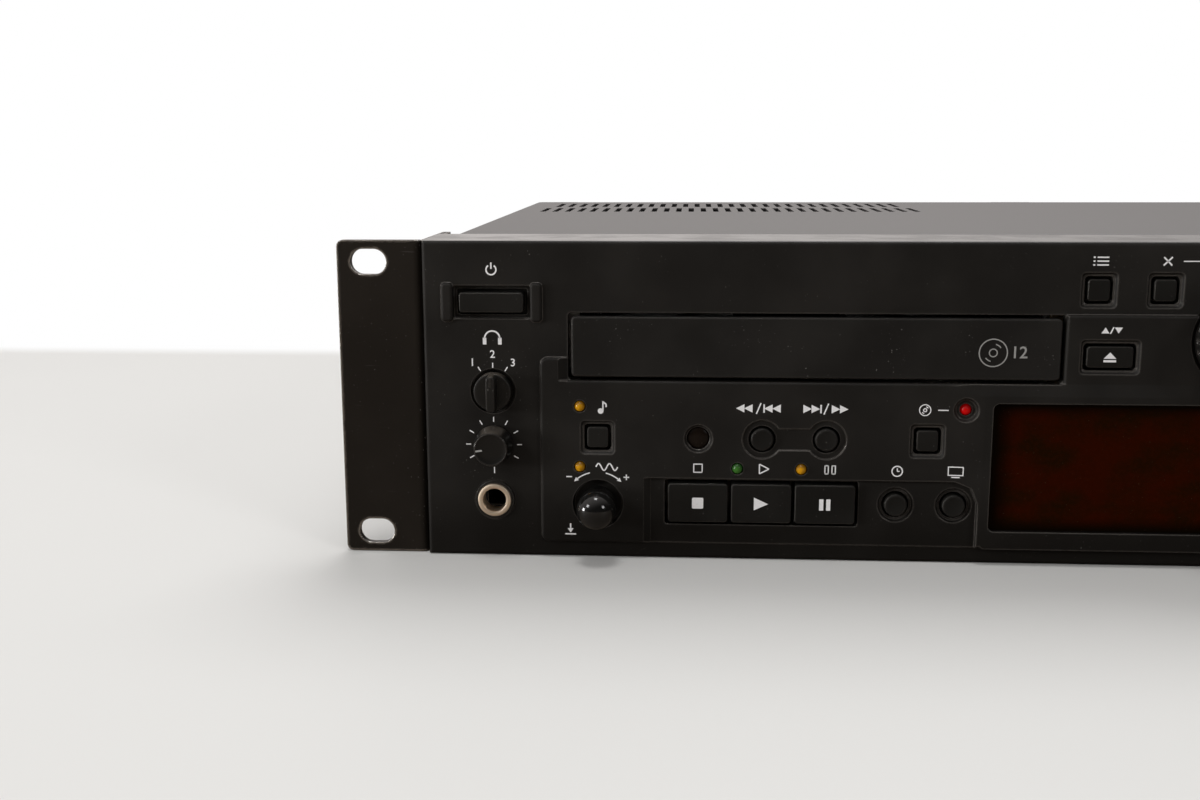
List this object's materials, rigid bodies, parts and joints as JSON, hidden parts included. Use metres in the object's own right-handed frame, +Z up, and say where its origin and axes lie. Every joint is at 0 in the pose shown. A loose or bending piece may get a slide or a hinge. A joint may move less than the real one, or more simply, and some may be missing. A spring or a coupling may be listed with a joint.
{
  "type": "minidisc deck",
  "caption": "Two-unit rack deck that plays compact discs from a motor tray and records minidiscs, with a shared display, a push-and-turn dial and sprung keys.",
  "frame": {"origin": "middle of the bounding box in X and Y, at the underside", "axes": "+X to the right of the front panel, +Y from the front panel to the back, +Z up"},
  "size_m": [0.4826, 0.2974, 0.088],
  "materials": {
    "panel": "satin black moulded, fine grain",
    "steel_black": "black powder coat",
    "cover_paint": "dark grey textured paint",
    "zinc": "zinc plated sheet",
    "screw_black": "black oxide",
    "smoke": "smoked red-brown window",
    "ir_lens": "dark infra-red filter",
    "nickel": "nickel plated",
    "board": "circuit board",
    "lamp_amber": "diffuse amber lamp",
    "lamp_green": "diffuse green lamp",
    "lamp_red": "diffuse red lamp",
    "key_black": "satin black",
    "knob_black": "glossy black",
    "tray_grey": "dark grey moulded",
    "drive_plastic": "black moulded",
    "motor_steel": "plain",
    "gear_white": "natural acetal",
    "rubber_black": "matt",
    "transformer_core": "varnished laminations",
    "jack_body": "black moulded"
  },
  "bodies": {
    "case": {"front_bezel": "panel", "bottom_chassis": "zinc", "top_cover": "cover_paint", "rear_panel": "zinc", "rack_ear_left": "steel_black", "rack_ear_right": "steel_black", "screws": "screw_black", "display_window": "smoke", "ir_window": "ir_lens", "phones_jack": "nickel", "keyboard_socket": "jack_body", "front_board": "board", "led_amber": "lamp_amber", "led_green": "lamp_green", "led_red": "lamp_red", "cd_drive_frame": "drive_plastic", "cd_loading_motor": "motor_steel", "md_drive_frame": "motor_steel", "main_board": "board", "power_transformer": "transformer_core", "rca_jacks": "nickel", "digital_jacks": "jack_body", "power_inlet": "jack_body"},
    "power_button": {"power_button": "key_black"},
    "key_button": {"key_button": "key_black"},
    "cd_select_button": {"cd_select_button": "key_black"},
    "md_select_button": {"md_select_button": "key_black"},
    "cd_menu_button": {"cd_menu_button": "key_black"},
    "md_menu_button": {"md_menu_button": "key_black"},
    "no_button": {"no_button": "key_black"},
    "yes_button": {"yes_button": "key_black"},
    "open_close_button": {"open_close_button": "key_black"},
    "md_eject_button": {"md_eject_button": "key_black"},
    "cd_skip_back_button": {"cd_skip_back_button": "key_black"},
    "cd_skip_forward_button": {"cd_skip_forward_button": "key_black"},
    "time_button": {"time_button": "key_black"},
    "display_button": {"display_button": "key_black"},
    "record_button": {"record_button": "key_black"},
    "cd_stop_button": {"cd_stop_button": "key_black"},
    "cd_play_button": {"cd_play_button": "key_black"},
    "cd_ready_button": {"cd_ready_button": "key_black"},
    "md_stop_button": {"md_stop_button": "key_black"},
    "md_play_button": {"md_play_button": "key_black"},
    "md_ready_button": {"md_ready_button": "key_black"},
    "phones_selector_knob": {"phones_selector_knob": "knob_black"},
    "phones_level_knob": {"phones_level_knob": "knob_black"},
    "input_left_knob": {"input_left_knob": "knob_black"},
    "input_right_knob": {"input_right_knob": "knob_black"},
    "pitch_shaft": {"pitch_shaft": "key_black"},
    "pitch_knob": {"pitch_knob": "knob_black"},
    "dial_shaft": {"dial_shaft": "key_black"},
    "jog_dial": {"jog_dial": "knob_black"},
    "cd_tray": {"cd_tray": "tray_grey", "cd_tray_front": "panel"},
    "cd_loading_gear": {"cd_loading_gear": "gear_white"},
    "cd_traverse": {"cd_traverse": "motor_steel"},
    "cd_turntable": {"cd_turntable": "rubber_black"},
    "cd_pickup_sled": {"cd_pickup_sled": "drive_plastic"},
    "cd_clamp_puck": {"cd_clamp_puck": "drive_plastic"},
    "md_slot_door": {"md_slot_door": "panel"}
  },
  "joints": [
    {"name": "power_button_press", "type": "slide", "parent": "case", "child": "power_button", "axis": [0, 1, 0], "range_m": [0, 0.0025], "stiffness_N_per_m": 120},
    {"name": "key_button_press", "type": "slide", "parent": "case", "child": "key_button", "axis": [0, 1, 0], "range_m": [0, 0.0006], "stiffness_N_per_m": 200},
    {"name": "cd_select_button_press", "type": "slide", "parent": "case", "child": "cd_select_button", "axis": [0, 1, 0], "range_m": [0, 0.0006], "stiffness_N_per_m": 200},
    {"name": "md_select_button_press", "type": "slide", "parent": "case", "child": "md_select_button", "axis": [0, 1, 0], "range_m": [0, 0.0006], "stiffness_N_per_m": 200},
    {"name": "cd_menu_button_press", "type": "slide", "parent": "case", "child": "cd_menu_button", "axis": [0, 1, 0], "range_m": [0, 0.0006], "stiffness_N_per_m": 200},
    {"name": "md_menu_button_press", "type": "slide", "parent": "case", "child": "md_menu_button", "axis": [0, 1, 0], "range_m": [0, 0.0006], "stiffness_N_per_m": 200},
    {"name": "no_button_press", "type": "slide", "parent": "case", "child": "no_button", "axis": [0, 1, 0], "range_m": [0, 0.0006], "stiffness_N_per_m": 200},
    {"name": "yes_button_press", "type": "slide", "parent": "case", "child": "yes_button", "axis": [0, 1, 0], "range_m": [0, 0.0006], "stiffness_N_per_m": 200},
    {"name": "open_close_button_press", "type": "slide", "parent": "case", "child": "open_close_button", "axis": [0, 1, 0], "range_m": [0, 0.0006], "stiffness_N_per_m": 200},
    {"name": "md_eject_button_press", "type": "slide", "parent": "case", "child": "md_eject_button", "axis": [0, 1, 0], "range_m": [0, 0.0006], "stiffness_N_per_m": 200},
    {"name": "cd_skip_back_button_press", "type": "slide", "parent": "case", "child": "cd_skip_back_button", "axis": [0, 1, 0], "range_m": [0, 0.0006], "stiffness_N_per_m": 200},
    {"name": "cd_skip_forward_button_press", "type": "slide", "parent": "case", "child": "cd_skip_forward_button", "axis": [0, 1, 0], "range_m": [0, 0.0006], "stiffness_N_per_m": 200},
    {"name": "time_button_press", "type": "slide", "parent": "case", "child": "time_button", "axis": [0, 1, 0], "range_m": [0, 0.0006], "stiffness_N_per_m": 200},
    {"name": "display_button_press", "type": "slide", "parent": "case", "child": "display_button", "axis": [0, 1, 0], "range_m": [0, 0.0006], "stiffness_N_per_m": 200},
    {"name": "record_button_press", "type": "slide", "parent": "case", "child": "record_button", "axis": [0, 1, 0], "range_m": [0, 0.0006], "stiffness_N_per_m": 200},
    {"name": "cd_stop_button_press", "type": "slide", "parent": "case", "child": "cd_stop_button", "axis": [0, 1, 0], "range_m": [0, 0.0008], "stiffness_N_per_m": 200},
    {"name": "cd_play_button_press", "type": "slide", "parent": "case", "child": "cd_play_button", "axis": [0, 1, 0], "range_m": [0, 0.0008], "stiffness_N_per_m": 200},
    {"name": "cd_ready_button_press", "type": "slide", "parent": "case", "child": "cd_ready_button", "axis": [0, 1, 0], "range_m": [0, 0.0008], "stiffness_N_per_m": 200},
    {"name": "md_stop_button_press", "type": "slide", "parent": "case", "child": "md_stop_button", "axis": [0, 1, 0], "range_m": [0, 0.0008], "stiffness_N_per_m": 200},
    {"name": "md_play_button_press", "type": "slide", "parent": "case", "child": "md_play_button", "axis": [0, 1, 0], "range_m": [0, 0.0008], "stiffness_N_per_m": 200},
    {"name": "md_ready_button_press", "type": "slide", "parent": "case", "child": "md_ready_button", "axis": [0, 1, 0], "range_m": [0, 0.0008], "stiffness_N_per_m": 200},
    {"name": "phones_selector_knob_turn", "type": "hinge", "parent": "case", "child": "phones_selector_knob", "pos_m": [-0.1984, -0.1327, 0.0468], "axis": [0, 1, 0], "range_deg": [-35, 35]},
    {"name": "phones_level_knob_turn", "type": "hinge", "parent": "case", "child": "phones_level_knob", "pos_m": [-0.1984, -0.1327, 0.0318], "axis": [0, 1, 0], "range_deg": [-53, 247]},
    {"name": "input_left_knob_turn", "type": "hinge", "parent": "case", "child": "input_left_knob", "pos_m": [0.1984, -0.1327, 0.0468], "axis": [0, 1, 0], "range_deg": [-150, 150]},
    {"name": "input_right_knob_turn", "type": "hinge", "parent": "case", "child": "input_right_knob", "pos_m": [0.1984, -0.1327, 0.0318], "axis": [0, 1, 0], "range_deg": [-150, 150]},
    {"name": "pitch_shaft_press", "type": "slide", "parent": "case", "child": "pitch_shaft", "axis": [0, 1, 0], "range_m": [0, 0.0006], "stiffness_N_per_m": 250},
    {"name": "pitch_knob_turn", "type": "hinge", "parent": "pitch_shaft", "child": "pitch_knob", "pos_m": [-0.1695, -0.1327, 0.0156], "axis": [0, 1, 0], "continuous": true},
    {"name": "dial_shaft_press", "type": "slide", "parent": "case", "child": "dial_shaft", "axis": [0, 1, 0], "range_m": [0, 0.0006], "stiffness_N_per_m": 250},
    {"name": "jog_dial_turn", "type": "hinge", "parent": "dial_shaft", "child": "jog_dial", "pos_m": [0, -0.1327, 0.0624], "axis": [0, 1, 0], "continuous": true},
    {"name": "tray_slide", "type": "slide", "parent": "case", "child": "cd_tray", "axis": [0, -1, 0], "range_m": [0, 0.128]},
    {"name": "loading_gear_turn", "type": "hinge", "parent": "case", "child": "cd_loading_gear", "pos_m": [-0.07035, -0.1067, 0.0539], "axis": [0, 0, 1], "range_deg": [-817, 2]},
    {"name": "traverse_lift", "type": "hinge", "parent": "case", "child": "cd_traverse", "pos_m": [-0.11135, 0.0173, 0.04], "axis": [1, 0, 0], "range_deg": [-4.4, 0]},
    {"name": "turntable_spin", "type": "hinge", "parent": "cd_traverse", "child": "cd_turntable", "pos_m": [-0.11135, -0.0647, 0.0518], "axis": [0, 0, 1], "continuous": true},
    {"name": "sled_slide", "type": "slide", "parent": "cd_traverse", "child": "cd_pickup_sled", "axis": [0, 1, 0], "range_m": [0, 0.034]},
    {"name": "puck_spin", "type": "hinge", "parent": "case", "child": "cd_clamp_puck", "pos_m": [-0.11135, -0.0647, 0.0736], "axis": [0, 0, 1], "continuous": true},
    {"name": "md_door_swing", "type": "hinge", "parent": "case", "child": "md_slot_door", "pos_m": [0.11135, -0.1309, 0.0623], "axis": [1, 0, 0], "range_deg": [0, 80], "stiffness_Nm_per_rad": 0.004}
  ],
  "couplings": [
    {"joint": "loading_gear_turn", "follows": "tray_slide", "rad_per_m": -111.11}
  ]
}
